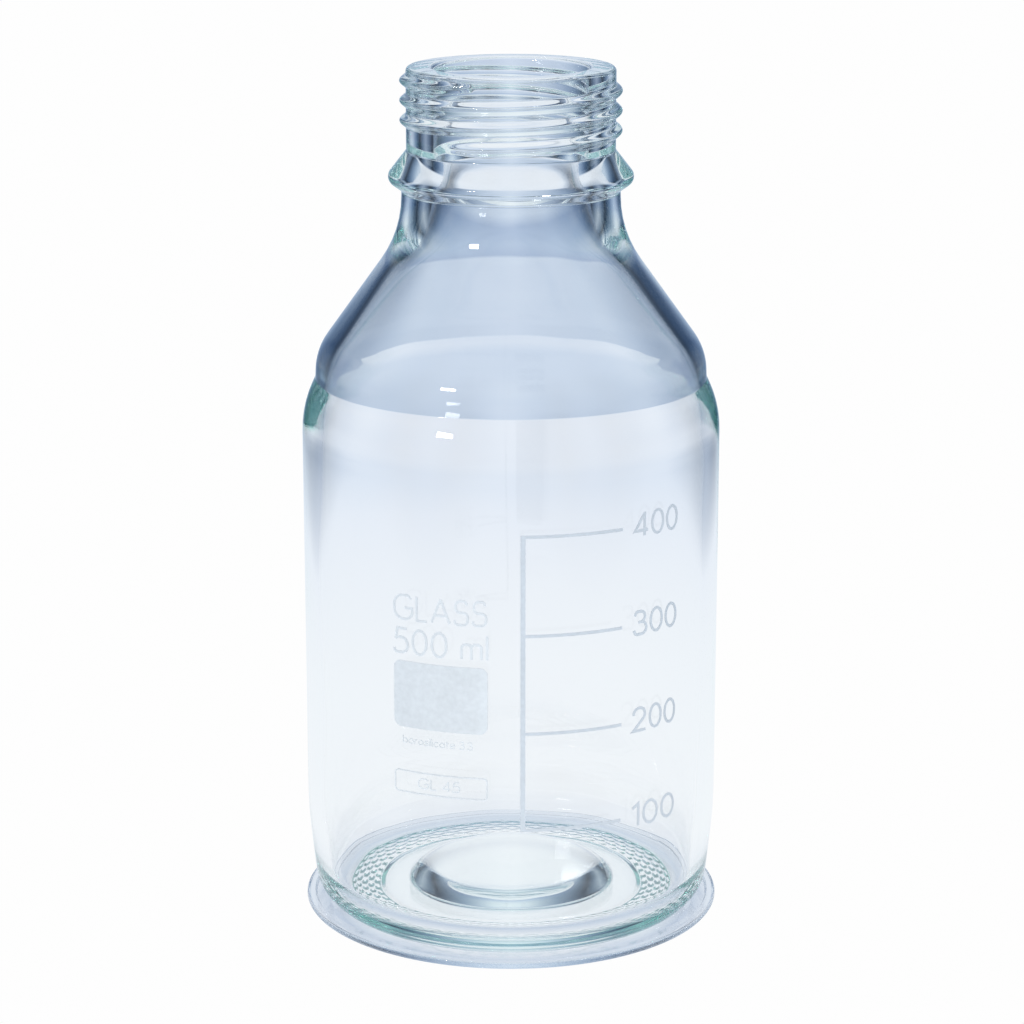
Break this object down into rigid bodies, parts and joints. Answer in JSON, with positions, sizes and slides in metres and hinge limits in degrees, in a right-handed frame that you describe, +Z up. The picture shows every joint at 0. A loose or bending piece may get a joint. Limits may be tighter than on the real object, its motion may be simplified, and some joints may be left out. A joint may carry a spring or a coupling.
{
  "type": "reagent bottle",
  "caption": "Clear glass laboratory bottle with a wide screw neck, collar, sloped shoulder, domed floor and fired enamel volume scale, standing on a shallow clear dish.",
  "frame": {"origin": "centre of the dish's flat underside, on the bottle's axis", "axes": "+Z up along the bottle's axis; -Y is the front, which the enamel scale and the writing panel face; +X is to the right as the scale is read"},
  "size_m": [0.0872, 0.0872, 0.1767],
  "materials": {
    "glass": "fire-polished clear glass",
    "dish": "clear, gloss",
    "enamel": "fired matt white enamel"
  },
  "bodies": {
    "dish": {"base_dish": "dish"},
    "bottle": {"glass_bottle": "glass", "scale_spine": "enamel", "scale_tick_100": "enamel", "scale_tick_200": "enamel", "scale_tick_300": "enamel", "scale_tick_400": "enamel", "scale_numeral_100": "enamel", "scale_numeral_200": "enamel", "scale_numeral_300": "enamel", "scale_numeral_400": "enamel", "glass_word": "enamel", "capacity_mark": "enamel", "writing_panel": "enamel", "material_line": "enamel", "neck_code_frame": "enamel", "neck_code_text": "enamel"}
  },
  "joints": [
    {"name": "bottle_lift", "type": "slide", "parent": "dish", "child": "bottle", "axis": [0, 0, 1], "range_m": [0, 0.03]}
  ]
}
